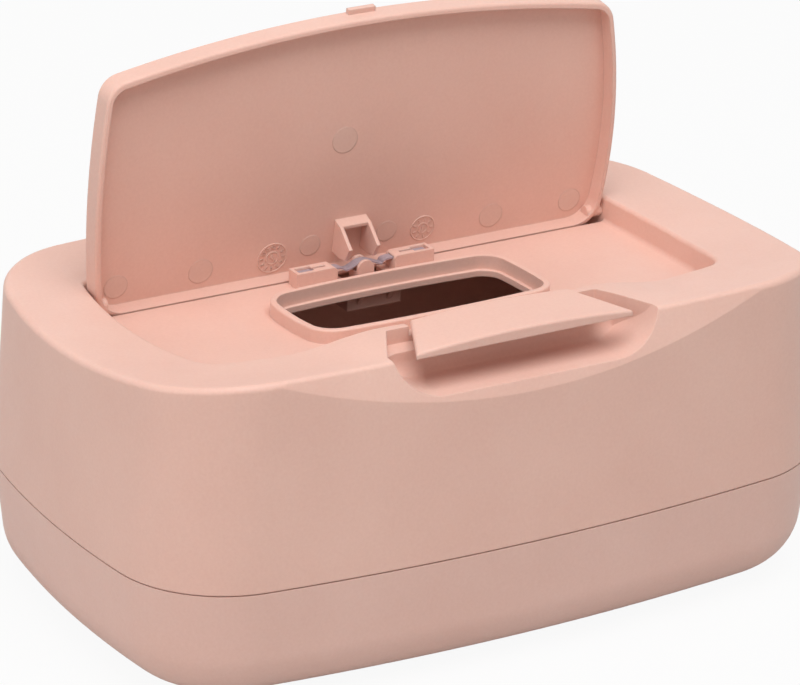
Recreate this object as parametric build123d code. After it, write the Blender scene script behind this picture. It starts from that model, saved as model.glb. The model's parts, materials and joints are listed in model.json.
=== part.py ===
from build123d import *
import math
import os

# Baby wipes box in millimetres: +X to the right, -Y towards the user, +Z up, feet standing on z = 0.

# Body outline at the seam between tray and cover
LENGTH = 240.0
DEPTH = 155.4
SEAM_Z = 39.4
SEAM_GAP = 0.4
SEAM_SIDE_RADIUS = 330.0
SEAM_END_RADIUS = 700.0
SEAM_CORNER = 36.0
WALL = 2.2

# Base tray
FOOT_STAND = 1.2
TRAY_INSET = 3.7
TRAY_BOTTOM_FILLET = 18.5
LOCATING_LIP_RISE = 4.0
LOCATING_LIP_WALL = 1.6
LOCATING_CLEARANCE = 0.3

# Feet
FOOT_RADIUS = 7.0
FOOT_PAD_DEPTH = 0.8
FOOT_X = LENGTH / 2 - 36.0
FOOT_Y = DEPTH / 2 - 33.7

# Cover walls above the seam
LOFT_TOP_Z = 110.0
SIDE_DRAFT = 0.041
FRONT_DRAFT = 0.027
BACK_DRAFT = 0.055
TOP_SIDE_RADIUS = 205.0
TOP_CORNER = 33.0
EDGE_FILLET = 2.0
FRONT_EDGE_FILLET = 1.6

# Dished top with a raised brow round the scoop
TOP_LOW_Z = 93.2
DISH_Y = 94.7 - DEPTH / 2
DISH_RADIUS = 408.0
SIDE_RISE_RADIUS = 2900.0
BROW_Z = 103.3
BROW_Y = 19.7 - DEPTH / 2
BROW_RADIUS = 150.0
BROW_FLAT = 35.0
BROW_END = 68.0

# Slanted facet under the straight front edge
FACET_TOP_Y = 6.7 - DEPTH / 2
FACET_TOP_Z = 102.8
FACET_FORWARD = 5.0
FACET_DROP = 14.3

# Recess for the lid
DECK_LOW_Z = 86.5
DECK_WALL = 2.0
RECESS_HALF = LENGTH / 2 - 28.2
RECESS_WIDEST_Y = 4.2
RECESS_SIDE_RADIUS = 227.0
RECESS_REAR_Y = DEPTH / 2 - 35.8
RECESS_FRONT_MIDDLE = DEPTH / 2 - 30.7
RECESS_FRONT_CORNER = RECESS_FRONT_MIDDLE - 8.2
RECESS_CORNER = 8.5
RECESS_EDGE_FILLET = 1.4
RECESS_RIM_LOW_Z = 91.0
TROUGH_FRONT_Y = RECESS_REAR_Y - 9.9
TROUGH_FLOOR_Z = 83.2

# Lid, drawn closed and then swung open
LID_GAP = 1.2
LID_REAR_Y = RECESS_REAR_Y - 2.4
LID_LOW_Z = 94.3
LID_RIM_Z = 86.9
LID_SKIN = 2.0
LID_RIM = 1.8
LID_FRONT_CORNER = 7.5
LID_REAR_CORNER = 10.0
HINGE_Y = RECESS_REAR_Y - 6.9
HINGE_Z = 89.9
STUB_RADIUS = 2.0
STUB_FIT = 0.06
STUB_REACH = 1.7
LID_OPEN_ANGLE = 82.1
TAB_HALF = 4.6
TAB_REACH = 1.6
TAB_DROP = 1.2
TAB_THICKNESS = 1.8

# Dispensing slot with a raised lip
SLOT_HALF = 38.8
SLOT_REAR = HINGE_Y - 19.4
SLOT_FRONT = RECESS_FRONT_CORNER - 18.6
SLOT_LEDGE = 1.2
LIP_WALL = 2.0
LIP_RISE = 4.5
LIP_EDGE_FILLET = 0.6
SLOT_SIDE_RADIUS = 120.0
SLOT_END_RADIUS = 420.0
SLOT_CORNER = 6.5

# Opening spring: spool post, two holders, leaf and the lid's cheek bracket
POST_RADIUS = 2.8
POST_Z = 89.3
POST_HUB_RADIUS = 1.7
POST_FRONT_Y = HINGE_Y - 9.8
POST_REAR_Y = POST_FRONT_Y + 5.8
FLANGE = 1.2
HOLDER_INNER_X = 10.0
HOLDER_OUTER_X = 24.0
HOLDER_RISE = 5.2
HOLDER_WALL = 1.1
HOLDER_FLOOR = 3.8
HOLDER_ROUND = 1.6
WINDOW_X = 17.6
SLIT_X = 13.0
SLIT_HALF = 0.6
LEAF_WIDTH = 3.2
LEAF_THICKNESS = 0.5
LEAF_GAP = 0.1
LEAF_END_GAP = 0.5
LEAF_DIP = 1.2
CHEEK_INNER_X = 4.3
CHEEK_THICKNESS = 1.2
WEB_REACH = 13.0
WEB_THICKNESS = 1.1
WELL_HALF = 7.2
WELL_FRONT_Y = POST_FRONT_Y - 2.8
WELL_REAR_Y = POST_REAR_Y + 5.4
WELL_FLOOR_Z = 80.8
GUSSET_X = 5.2
GUSSET_THICKNESS = 1.4

# Finger scoop and the chamber of the button
SCOOP_FRONT_HALF = 45.3
SCOOP_TURN_Y = 9.3 - DEPTH / 2
SCOOP_REAR_HALF = 35.5
SCOOP_REAR_Y = 27.7 - DEPTH / 2
SCOOP_FLOOR_Z = 91.0
SCOOP_SIDE_FILLET = 16.0
SCOOP_REAR_FILLET = 5.0
SCOOP_STEP_Z = 98.4
SCOOP_STEP_FRONT_Y = SCOOP_REAR_Y - 12.0
SCOOP_STEP_CORNER = 1.5
BOWL_REAR_Y = SCOOP_REAR_Y - 6.5
BOWL_CORNER = 7.0
CHAMBER_HALF = 22.5
CHAMBER_FRONT_Y = SCOOP_REAR_Y - 4.9
CHAMBER_REAR_Y = SCOOP_REAR_Y + 1.4
CHAMBER_FLOOR_Z = 88.0
CATCH_WAY_Z = 95.4
NOTCH_HALF = 27.9
NOTCH_Z = 100.2

# Push button
BUTTON_FRONT_Y = SCOOP_REAR_Y - 20.0
BUTTON_REAR_Y = CHAMBER_REAR_Y
BUTTON_FRONT_HALF = 36.6
BUTTON_REAR_HALF = 26.6
BUTTON_CREST_Z = 105.4
BUTTON_CROWN_RADIUS = 400.0
BUTTON_TILT = 1.0
BUTTON_THICKNESS = 1.8
BUTTON_UNDER_Z = 101.6
BUTTON_LIP_DEPTH = 5.0
BUTTON_EDGE_FILLET = 0.9
PIN_Y = SCOOP_REAR_Y - 1.5
PIN_Z = 93.0
PIN_RADIUS = 1.25
PIN_FIT = 0.05
PIN_SEAT_DEPTH = 2.6
PIN_TIP = 0.5
ARM_OUTER_X = 20.5
ARM_THICKNESS = 4.0
ARM_FRONT = 2.1
ARM_REAR = 2.3
ARM_BOSS_RADIUS = 2.4
HOOK_HALF = 5.0
HOOK_THICKNESS = 1.6
HOOK_DROP = 5.0
HOOK_NOSE = 0.8

# Button spring
SPRING_Y = SCOOP_REAR_Y - 2.6
SPRING_RADIUS = 1.5
SPRING_WIRE_RADIUS = 0.35
SPRING_TURNS = 7
SPRING_GAP = 0.1

FAR = 400.0


def sag(half_chord, radius):
    """Depth of an arc below its crown, at a distance from the crown along the chord."""
    return radius - math.sqrt(radius**2 - half_chord**2)


def corner_point(half_x, reach_y, side_radius, end_radius):
    """Where a bowed side at x = half_x meets a bowed end at y = reach_y."""
    x, y = half_x, reach_y
    for _ in range(40):
        x = half_x - sag(y, side_radius)
        y = reach_y - sag(x, end_radius)
    return x, y


def bowed_face(half_x, front, back, side_radius, end_radius, corner, z=0.0):
    """A flat face at height z with four bowed edges and rounded corners."""
    fx, fy = corner_point(half_x, front, side_radius, end_radius)
    bx, by = corner_point(half_x, back, side_radius, end_radius)
    edges = [
        ThreePointArc((-fx, -fy), (0, -front), (fx, -fy)),
        ThreePointArc((fx, -fy), (half_x, 0), (bx, by)),
        ThreePointArc((bx, by), (0, back), (-bx, by)),
        ThreePointArc((-bx, by), (-half_x, 0), (-fx, -fy)),
    ]
    outline = make_face(edges)
    return (Pos(0, 0, z) * fillet(outline.vertices(), corner)).face()


def seam_face(inset, z):
    """The body outline at the seam, drawn in by inset."""
    half_y = DEPTH / 2 - inset
    return bowed_face(
        LENGTH / 2 - inset, half_y, half_y,
        SEAM_SIDE_RADIUS - inset, SEAM_END_RADIUS - inset, SEAM_CORNER - inset, z,
    )


def top_face(inset, z):
    """The cover outline at height z, with each wall leaning in by its draft."""
    rise = z - SEAM_Z
    half_y = DEPTH / 2 - inset
    return bowed_face(
        LENGTH / 2 - inset - SIDE_DRAFT * rise, half_y - FRONT_DRAFT * rise, half_y - BACK_DRAFT * rise,
        TOP_SIDE_RADIUS - inset, SEAM_END_RADIUS - inset, TOP_CORNER - inset, z,
    )


def prism_x(points, half_width):
    """A straight bar along X whose section is a polygon of (y, z) points."""
    face = Plane.YZ * make_face(Polyline(*points, close=True))
    return extrude(face, amount=half_width, both=True)


def box_between(x0, x1, y0, y1, z0, z1):
    """A box given by its limits."""
    centre = Pos((x0 + x1) / 2, (y0 + y1) / 2, (z0 + z1) / 2)
    return centre * Box(abs(x1 - x0), abs(y1 - y0), abs(z1 - z0))


def above_dish(low_z):
    """The space above a surface dished along Y, lowest at low_z."""
    radius = DISH_RADIUS
    return Pos(0, DISH_Y, low_z + radius) * Rot(0, 90, 0) * Cylinder(radius, FAR)


def dish_height(low_z, y):
    """Height of the dished surface at y."""
    return low_z + sag(abs(y - DISH_Y), DISH_RADIUS)


def top_height(x, y):
    """Height of the cover's top: dished along Y, risen at both sides, with a brow round the scoop."""
    base = TOP_LOW_Z + x * x / (2 * SIDE_RISE_RADIUS) + (y - DISH_Y) ** 2 / (2 * DISH_RADIUS)
    brow = BROW_Z - (y - BROW_Y) ** 2 / (2 * BROW_RADIUS)
    spread = min(1.0, max(0.0, (abs(x) - BROW_FLAT) / (BROW_END - BROW_FLAT)))
    share = (1 + math.cos(math.pi * spread)) / 2
    return base + share * max(0.0, brow - base)


def above_top(lowered=0.0):
    """The space above the cover's top surface, moved down by lowered."""
    columns = 29
    rows = 21
    reach_x = LENGTH / 2 + 8
    reach_y = DEPTH / 2 + 8
    grid = []
    for i in range(columns):
        x = reach_x * (2 * i / (columns - 1) - 1)
        line = []
        for j in range(rows):
            y = reach_y * (2 * j / (rows - 1) - 1)
            line.append(Vector(x, y, top_height(x, y) - lowered))
        grid.append(line)
    surface = Face.make_surface_from_array_of_points(grid, tol=0.005)
    return extrude(surface, amount=60, dir=(0, 0, 1))


def facet_space(inset=0.0):
    """The space in front of the slanted facet, moved back by inset."""
    run = math.hypot(FACET_FORWARD, FACET_DROP)
    back = inset * run / FACET_DROP
    up = 1.6
    down = 2.6
    high = (FACET_TOP_Y + up * FACET_FORWARD + back, FACET_TOP_Z + up * FACET_DROP)
    low = (FACET_TOP_Y - down * FACET_FORWARD + back, FACET_TOP_Z - down * FACET_DROP)
    return prism_x([high, low, (-FAR, low[1]), (-FAR, high[1])], FAR)


def recess_half(y):
    """Half width of the recess at y."""
    return RECESS_HALF - sag(abs(y - RECESS_WIDEST_Y), RECESS_SIDE_RADIUS)


def recess_prism(inset, rear_y, front_corner, rear_corner, z0, z1):
    """The recess outline as a prism, drawn in by inset."""
    front_y = -(RECESS_FRONT_CORNER - inset)
    middle_y = -(RECESS_FRONT_MIDDLE - inset)
    fx = recess_half(front_y) - inset
    rx = recess_half(rear_y) - inset
    wide = RECESS_HALF - inset
    edges = [
        ThreePointArc((-fx, front_y), (0, middle_y), (fx, front_y)),
        ThreePointArc((fx, front_y), (wide, RECESS_WIDEST_Y), (rx, rear_y)),
        Line((rx, rear_y), (-rx, rear_y)),
        ThreePointArc((-rx, rear_y), (-wide, RECESS_WIDEST_Y), (-fx, front_y)),
    ]
    outline = make_face(edges)
    front = [v for v in outline.vertices() if v.Y < 0]
    outline = fillet(front, front_corner)
    rear = [v for v in outline.vertices() if abs(v.Y - rear_y) < 0.01]
    outline = fillet(rear, rear_corner)
    return extrude(Pos(0, 0, z0) * outline, amount=z1 - z0)


def slot_prism(grow, z0, z1):
    """The slot outline as a prism, widened by grow."""
    middle = (SLOT_REAR - SLOT_FRONT) / 2
    half_y = (SLOT_REAR + SLOT_FRONT) / 2 + grow
    face = bowed_face(
        SLOT_HALF + grow, half_y, half_y, SLOT_SIDE_RADIUS + grow, SLOT_END_RADIUS + grow,
        SLOT_CORNER + grow, z0,
    )
    return extrude(Pos(0, middle, 0) * face, amount=z1 - z0, dir=(0, 0, 1))


def scoop_plan(rear_y, grow, z0, z1, rear_corner):
    """The scoop seen from above: parallel at the front, narrowing to the rear."""
    slope = (SCOOP_FRONT_HALF - SCOOP_REAR_HALF) / (SCOOP_REAR_Y - SCOOP_TURN_Y)
    rear_half = SCOOP_FRONT_HALF - slope * (rear_y - SCOOP_TURN_Y)
    front = -DEPTH
    points = [
        (SCOOP_FRONT_HALF, front), (SCOOP_FRONT_HALF, SCOOP_TURN_Y), (rear_half, rear_y),
        (-rear_half, rear_y), (-SCOOP_FRONT_HALF, SCOOP_TURN_Y), (-SCOOP_FRONT_HALF, front),
    ]
    outline = make_face(Polyline(*points, close=True))
    rear = [v for v in outline.vertices() if abs(v.Y - rear_y) < 0.01]
    outline = fillet(rear, rear_corner)
    turn = [v for v in outline.vertices() if abs(v.Y - SCOOP_TURN_Y) < 0.01]
    outline = fillet(turn, rear_corner)
    if grow > 0:
        outline = offset(outline, grow)
    return extrude(Pos(0, 0, z0) * outline, amount=z1 - z0)


def scoop_bowl(grow):
    """The lower bowl of the scoop, rounded up at both sides and at the rear."""
    floor = SCOOP_FLOOR_Z - grow
    half = SCOOP_FRONT_HALF + grow
    height = LOFT_TOP_Z - floor
    across = Pos(0, height / 2) * Rectangle(2 * half, height)
    across = fillet(across.vertices().sort_by(Axis.Y)[:2], SCOOP_SIDE_FILLET + grow)
    rear = BOWL_REAR_Y + grow
    along = Pos(rear - DEPTH / 2, height / 2) * Rectangle(DEPTH, height)
    corner = [v for v in along.vertices() if v.X > rear - 1 and v.Y < 1]
    along = fillet(corner, SCOOP_REAR_FILLET + grow)
    bowl = scoop_plan(BOWL_REAR_Y, grow, floor, LOFT_TOP_Z, BOWL_CORNER)
    bowl &= Pos(0, 0, floor) * extrude(Plane.XZ * across, amount=DEPTH, both=True)
    return bowl & Pos(0, 0, floor) * extrude(Plane.YZ * along, amount=half + 1, both=True)


def make_base_tray():
    """The lower half: a boat-shaped tray with a locating lip inside the seam."""
    top_z = SEAM_Z - SEAM_GAP / 2
    outer = loft([seam_face(TRAY_INSET, FOOT_STAND), seam_face(0, top_z)], ruled=True)
    outer = fillet(outer.faces().sort_by(Axis.Z)[0].edges(), TRAY_BOTTOM_FILLET)
    floor_z = FOOT_STAND + WALL
    inner = loft([seam_face(TRAY_INSET + WALL, floor_z), seam_face(WALL, top_z)], ruled=True)
    inner = fillet(inner.faces().sort_by(Axis.Z)[0].edges(), TRAY_BOTTOM_FILLET - WALL)
    tray = outer - inner
    lip_inset = WALL + LOCATING_CLEARANCE
    lip_low = top_z - LOCATING_LIP_RISE
    lip = extrude(seam_face(lip_inset, lip_low), amount=2 * LOCATING_LIP_RISE, dir=(0, 0, 1))
    lip -= extrude(seam_face(lip_inset + LOCATING_LIP_WALL, lip_low), amount=2 * LOCATING_LIP_RISE, dir=(0, 0, 1))
    shelf = extrude(seam_face(WALL / 2, lip_low), amount=LOCATING_LIP_RISE, dir=(0, 0, 1))
    shelf -= extrude(seam_face(lip_inset + LOCATING_LIP_WALL, lip_low), amount=LOCATING_LIP_RISE, dir=(0, 0, 1))
    tray = tray + lip + shelf
    for x, y in foot_places():
        tray -= Pos(x, y, FOOT_STAND + FOOT_PAD_DEPTH / 2) * Cylinder(FOOT_RADIUS, FOOT_PAD_DEPTH)
    return tray


def foot_places():
    """Centres of the four feet, front left first."""
    return [(-FOOT_X, -FOOT_Y), (FOOT_X, -FOOT_Y), (-FOOT_X, FOOT_Y), (FOOT_X, FOOT_Y)]


def make_foot(x, y):
    """A soft round pad pressed into its shallow seat under the tray."""
    height = FOOT_STAND + FOOT_PAD_DEPTH
    pad = Pos(x, y, height / 2) * Cylinder(FOOT_RADIUS, height)
    return fillet(pad.edges().sort_by(Axis.Z)[0], FOOT_STAND / 2)


def cover_shell():
    """The cover's outer form with its top, facet and rounded upper edges."""
    bottom_z = SEAM_Z + SEAM_GAP / 2
    form = loft([seam_face(0, bottom_z), top_face(0, LOFT_TOP_Z)], ruled=True)
    form -= above_top()
    top = form.faces().sort_by(Axis.Z)[-1]
    form = fillet(top.edges(), EDGE_FILLET) - facet_space()
    front = [e for e in form.edges() if abs(e.center().Y - FACET_TOP_Y) < 1 and e.center().Z > FACET_TOP_Z - 2]
    return fillet(max(front, key=lambda e: e.length), FRONT_EDGE_FILLET)


def recess_space():
    """The open space of the recess above the deck, with the trough behind the deck."""
    prism = recess_prism(0, RECESS_REAR_Y, RECESS_CORNER, 2.0, DECK_LOW_Z - 10, LOFT_TOP_Z)
    space = prism & above_dish(DECK_LOW_Z)
    trough = box_between(-FAR, FAR, TROUGH_FRONT_Y, RECESS_REAR_Y + 1, TROUGH_FLOOR_Z, DECK_LOW_Z + 5)
    return space + (prism & trough)


def cavity():
    """The hollow inside the cover, open at the seam."""
    bottom_z = SEAM_Z + SEAM_GAP / 2
    hollow = loft([seam_face(WALL, bottom_z), top_face(WALL, LOFT_TOP_Z)], ruled=True)
    hollow -= above_top(WALL)
    hollow -= facet_space(WALL)
    bowl = recess_prism(
        -WALL, RECESS_REAR_Y + WALL, RECESS_CORNER + WALL, 2.0 + WALL, DECK_LOW_Z - 20, LOFT_TOP_Z,
    )
    hollow -= bowl & above_dish(DECK_LOW_Z - DECK_WALL)
    trough = box_between(
        -FAR, FAR, TROUGH_FRONT_Y - WALL, RECESS_REAR_Y + WALL, TROUGH_FLOOR_Z - DECK_WALL, DECK_LOW_Z + 5,
    )
    hollow -= bowl & trough
    hollow -= box_between(
        -WELL_HALF - WALL, WELL_HALF + WALL, WELL_FRONT_Y - WALL, WELL_REAR_Y + WALL,
        WELL_FLOOR_Z - WALL, DECK_LOW_Z + 2,
    )
    hollow -= scoop_bowl(WALL)
    hollow -= scoop_plan(SCOOP_REAR_Y, WALL, SCOOP_STEP_Z - WALL, LOFT_TOP_Z, SCOOP_STEP_CORNER)
    hollow -= box_between(
        -CHAMBER_HALF - PIN_SEAT_DEPTH - 1, CHAMBER_HALF + PIN_SEAT_DEPTH + 1, BOWL_REAR_Y, -RECESS_FRONT_CORNER,
        CHAMBER_FLOOR_Z - WALL, LOFT_TOP_Z,
    )
    return hollow


def recess_rim(cover):
    """The edges round the recess, upper ones and the front's foot, which are all rounded alike."""
    reach_x = RECESS_HALF + 1
    reach_y = RECESS_FRONT_MIDDLE + 1
    high = [e for e in cover.edges() if e.center().Z > RECESS_RIM_LOW_Z]
    return [e for e in high if abs(e.center().X) < reach_x and -reach_y < e.center().Y < RECESS_REAR_Y + 1]


def gussets():
    """Two triangular ribs from the well's front wall to the underside of the deck."""
    wall_y = WELL_FRONT_Y - WALL / 2
    deck_z = DECK_LOW_Z - DECK_WALL / 2
    corners = [(wall_y, WELL_FLOOR_Z - WALL), (wall_y, deck_z), (SLOT_REAR + SLOT_LEDGE, deck_z)]
    rib = prism_x(corners, GUSSET_THICKNESS / 2)
    return Pos(-GUSSET_X, 0, 0) * rib + Pos(GUSSET_X, 0, 0) * rib


def spring_seat():
    """The spool post and the two holders of the leaf spring, standing on the deck."""
    base_z = WELL_FLOOR_Z
    deck_z = dish_height(DECK_LOW_Z, POST_FRONT_Y)
    seat = Part()
    for y in (POST_FRONT_Y, POST_REAR_Y - FLANGE):
        disc = Pos(0, y + FLANGE / 2, POST_Z) * Rot(90, 0, 0) * Cylinder(POST_RADIUS, FLANGE)
        stem = box_between(-POST_RADIUS, POST_RADIUS, y, y + FLANGE, base_z, POST_Z)
        seat += disc + stem
    hub = Pos(0, (POST_FRONT_Y + POST_REAR_Y) / 2, POST_Z)
    seat += hub * Rot(90, 0, 0) * Cylinder(POST_HUB_RADIUS, POST_REAR_Y - POST_FRONT_Y)
    neck_z = POST_Z - POST_HUB_RADIUS / 2
    seat += box_between(-POST_RADIUS, POST_RADIUS, POST_FRONT_Y, POST_REAR_Y, base_z, neck_z)
    floor_z = deck_z + HOLDER_FLOOR
    top_z = deck_z + HOLDER_RISE
    channel_z = floor_z + LEAF_THICKNESS + 2 * LEAF_GAP
    front_y = POST_FRONT_Y + HOLDER_WALL
    rear_y = POST_REAR_Y - HOLDER_WALL
    slit_y = (front_y + rear_y) / 2
    for side in (-1, 1):
        inner = side * HOLDER_INNER_X
        outer = side * HOLDER_OUTER_X
        end = outer - side * HOLDER_WALL
        block = box_between(inner, outer, POST_FRONT_Y, POST_REAR_Y, DECK_LOW_Z - 1, top_z)
        ends = [e for e in block.edges().filter_by(Axis.Y) if abs(e.center().X - inner) < 0.01]
        block = fillet(max(ends, key=lambda e: e.center().Z), HOLDER_ROUND)
        block -= box_between(inner - side, end, front_y, rear_y, floor_z, channel_z)
        block -= box_between(side * WINDOW_X, end, front_y, rear_y, floor_z, top_z + 1)
        block -= box_between(
            side * SLIT_X, side * WINDOW_X, slit_y - SLIT_HALF, slit_y + SLIT_HALF, floor_z, top_z + 1,
        )
        seat += block
    return seat


def make_top_cover():
    """The upper shell with deck, slot, spring seat, scoop and button chamber."""
    cover = cover_shell() - recess_space()
    cover = fillet(recess_rim(cover), RECESS_EDGE_FILLET) - cavity()
    well = box_between(
        -WELL_HALF, WELL_HALF, WELL_FRONT_Y, WELL_REAR_Y, WELL_FLOOR_Z, dish_height(DECK_LOW_Z, WELL_FRONT_Y) + 1,
    )
    cover -= well
    cover += spring_seat() + gussets()
    lip = slot_prism(SLOT_LEDGE + LIP_WALL, DECK_LOW_Z - DECK_WALL, LOFT_TOP_Z) - above_dish(DECK_LOW_Z + LIP_RISE)
    rim = lip.faces().sort_by(Axis.Z)[-1]
    cover += fillet(rim.edges(), LIP_EDGE_FILLET) & above_dish(DECK_LOW_Z - DECK_WALL)
    cover -= slot_prism(SLOT_LEDGE, DECK_LOW_Z, LOFT_TOP_Z) & above_dish(DECK_LOW_Z)
    cover -= slot_prism(0, DECK_LOW_Z - 4 * DECK_WALL, LOFT_TOP_Z)
    cover -= scoop_bowl(0)
    step = scoop_plan(SCOOP_REAR_Y, 0, SCOOP_STEP_Z, LOFT_TOP_Z, SCOOP_STEP_CORNER)
    cover -= step & box_between(-FAR, FAR, SCOOP_STEP_FRONT_Y, 0, SCOOP_STEP_Z, LOFT_TOP_Z)
    cover -= box_between(
        -CHAMBER_HALF, CHAMBER_HALF, CHAMBER_FRONT_Y, CHAMBER_REAR_Y, CHAMBER_FLOOR_Z, LOFT_TOP_Z,
    )
    cover -= box_between(-CHAMBER_HALF, CHAMBER_HALF, SCOOP_REAR_Y - 1, -RECESS_FRONT_CORNER, CATCH_WAY_Z, LOFT_TOP_Z)
    cover -= box_between(-NOTCH_HALF, NOTCH_HALF, SCOOP_REAR_Y - 1, -RECESS_FRONT_CORNER, NOTCH_Z, LOFT_TOP_Z)
    for side in (-1, 1):
        stub_hole = Pos(side * recess_half(HINGE_Y), HINGE_Y, HINGE_Z) * Rot(0, 90, 0)
        cover -= stub_hole * Cylinder(STUB_RADIUS + STUB_FIT, 4 * STUB_REACH)
        seat_x = side * (CHAMBER_HALF + PIN_SEAT_DEPTH / 2)
        cover -= Pos(seat_x, PIN_Y, PIN_Z) * Rot(0, 90, 0) * Cylinder(PIN_RADIUS, PIN_SEAT_DEPTH)
    return cover


def lid_closed():
    """The lid in its closed place: a shallow tray, open below."""
    outline = recess_prism(LID_GAP, LID_REAR_Y, LID_FRONT_CORNER, LID_REAR_CORNER, LID_RIM_Z - 5, LOFT_TOP_Z)
    slab = (outline & above_dish(LID_RIM_Z)) - above_dish(LID_LOW_Z)
    slab = fillet(slab.faces().sort_by(Axis.Z)[-1].edges(), 1.0)
    inside = recess_prism(
        LID_GAP + LID_RIM, LID_REAR_Y - LID_RIM, LID_FRONT_CORNER - LID_RIM, LID_REAR_CORNER - LID_RIM,
        LID_RIM_Z - 5, LOFT_TOP_Z,
    )
    return slab - (inside - above_dish(LID_LOW_Z - LID_SKIN))


def cheek_bracket():
    """Two cheeks joined by a web, hanging from the lid's skin in front of the hinge."""
    skin_z = LID_LOW_Z - LID_SKIN / 2
    front_y = HINGE_Y - WEB_REACH
    outline = [
        (front_y, skin_z), (front_y + 1.1, HINGE_Z - 1.1), (HINGE_Y - 7.1, HINGE_Z - 7.9),
        (HINGE_Y - 2.5, HINGE_Z - 5.7), (HINGE_Y - 1.5, HINGE_Z - 2.0), (HINGE_Y - 1.5, skin_z),
    ]
    bracket = Part()
    for side in (-1, 1):
        x = side * (CHEEK_INNER_X + CHEEK_THICKNESS / 2)
        bracket += Pos(x, 0, 0) * prism_x(outline, CHEEK_THICKNESS / 2)
    web = [outline[0], outline[1], (outline[1][0] + WEB_THICKNESS, outline[1][1]), (front_y + WEB_THICKNESS, skin_z)]
    return bracket + prism_x(web, CHEEK_INNER_X + CHEEK_THICKNESS / 2)


def make_lid():
    """The lid with hinge stubs, catch tab and cheek bracket, swung open."""
    lid = lid_closed()
    for side in (-1, 1):
        inner_x = recess_half(HINGE_Y) - LID_GAP - 4.0
        outer_x = recess_half(HINGE_Y) + STUB_REACH
        stub = Pos(side * (inner_x + outer_x) / 2, HINGE_Y, HINGE_Z) * Rot(0, 90, 0)
        lid += stub * Cylinder(STUB_RADIUS, outer_x - inner_x)
    tab_rear = -(RECESS_FRONT_MIDDLE - LID_GAP) + LID_RIM / 2
    tab_front = tab_rear - LID_RIM / 2 - TAB_REACH
    tab_top = dish_height(LID_LOW_Z, tab_rear) - TAB_DROP
    lid += box_between(-TAB_HALF, TAB_HALF, tab_front, tab_rear, tab_top - TAB_THICKNESS, tab_top)
    lid += cheek_bracket()
    hinge = Axis((0, HINGE_Y, HINGE_Z), (1, 0, 0))
    return lid.rotate(hinge, -LID_OPEN_ANGLE)


def button_slab(depth):
    """The space between the button's crowned top and a like surface depth below it."""
    place = Pos(0, BUTTON_REAR_Y, BUTTON_CREST_Z) * Rot(BUTTON_TILT, 0, 0) * Pos(0, 0, -BUTTON_CROWN_RADIUS)
    outer = place * Rot(90, 0, 0) * Cylinder(BUTTON_CROWN_RADIUS, FAR)
    return outer - place * Rot(90, 0, 0) * Cylinder(BUTTON_CROWN_RADIUS - depth, FAR)


def button_plan():
    """The button seen from above, as a prism through the whole slab."""
    points = [
        (-BUTTON_FRONT_HALF, BUTTON_FRONT_Y), (BUTTON_FRONT_HALF, BUTTON_FRONT_Y),
        (BUTTON_REAR_HALF, BUTTON_REAR_Y), (-BUTTON_REAR_HALF, BUTTON_REAR_Y),
    ]
    outline = make_face(Polyline(*points, close=True))
    return extrude(Pos(0, 0, CHAMBER_FLOOR_Z) * outline, amount=LOFT_TOP_Z - CHAMBER_FLOOR_Z)


def make_push_button():
    """The wing-shaped lever plate with its two arms and the latch hook."""
    lip_y = BUTTON_FRONT_Y + BUTTON_THICKNESS
    lip = box_between(-FAR, FAR, BUTTON_FRONT_Y - 1, lip_y, BUTTON_UNDER_Z, LOFT_TOP_Z)
    button = button_slab(BUTTON_THICKNESS) + (button_slab(BUTTON_LIP_DEPTH) & lip)
    button &= button_plan()
    button = fillet(button.faces().sort_by(Axis.Z)[-1].edges(), BUTTON_EDGE_FILLET)
    hook_top = BUTTON_CREST_Z - BUTTON_THICKNESS / 2
    arm_top = hook_top - sag(ARM_OUTER_X, BUTTON_CROWN_RADIUS)
    for side in (-1, 1):
        x0 = side * ARM_OUTER_X
        x1 = side * (ARM_OUTER_X - ARM_THICKNESS)
        arm = box_between(x0, x1, PIN_Y - ARM_FRONT, PIN_Y + ARM_REAR, PIN_Z, arm_top)
        boss = Pos((x0 + x1) / 2, PIN_Y, PIN_Z) * Rot(0, 90, 0)
        button += arm + boss * Cylinder(ARM_BOSS_RADIUS, ARM_THICKNESS)
        button -= boss * Cylinder(PIN_RADIUS + PIN_FIT, 2 * ARM_THICKNESS)
    hook_low = hook_top - HOOK_DROP
    hook = box_between(-HOOK_HALF, HOOK_HALF, BUTTON_REAR_Y - HOOK_THICKNESS, BUTTON_REAR_Y, hook_low, hook_top)
    nose = [
        (BUTTON_REAR_Y - HOOK_THICKNESS / 2, hook_low), (BUTTON_REAR_Y + HOOK_NOSE, hook_low),
        (BUTTON_REAR_Y, hook_low + 2 * HOOK_NOSE), (BUTTON_REAR_Y - HOOK_THICKNESS / 2, hook_low + 2 * HOOK_NOSE),
    ]
    return button + hook + prism_x(nose, HOOK_HALF)


def make_pin(side):
    """A short steel pin from its seat in the chamber wall through the button's arm."""
    inner = side * (ARM_OUTER_X - ARM_THICKNESS - PIN_TIP)
    outer = side * (CHAMBER_HALF + PIN_SEAT_DEPTH)
    return Pos((inner + outer) / 2, PIN_Y, PIN_Z) * Rot(0, 90, 0) * Cylinder(PIN_RADIUS, abs(outer - inner))


def leaf_heights():
    """Heights of the leaf's underside in the holders, at its dips and over the hub."""
    floor_z = dish_height(DECK_LOW_Z, POST_FRONT_Y) + HOLDER_FLOOR + LEAF_GAP
    hub_z = POST_Z + POST_HUB_RADIUS + LEAF_GAP
    return floor_z, min(floor_z, hub_z) - LEAF_DIP, hub_z


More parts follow.
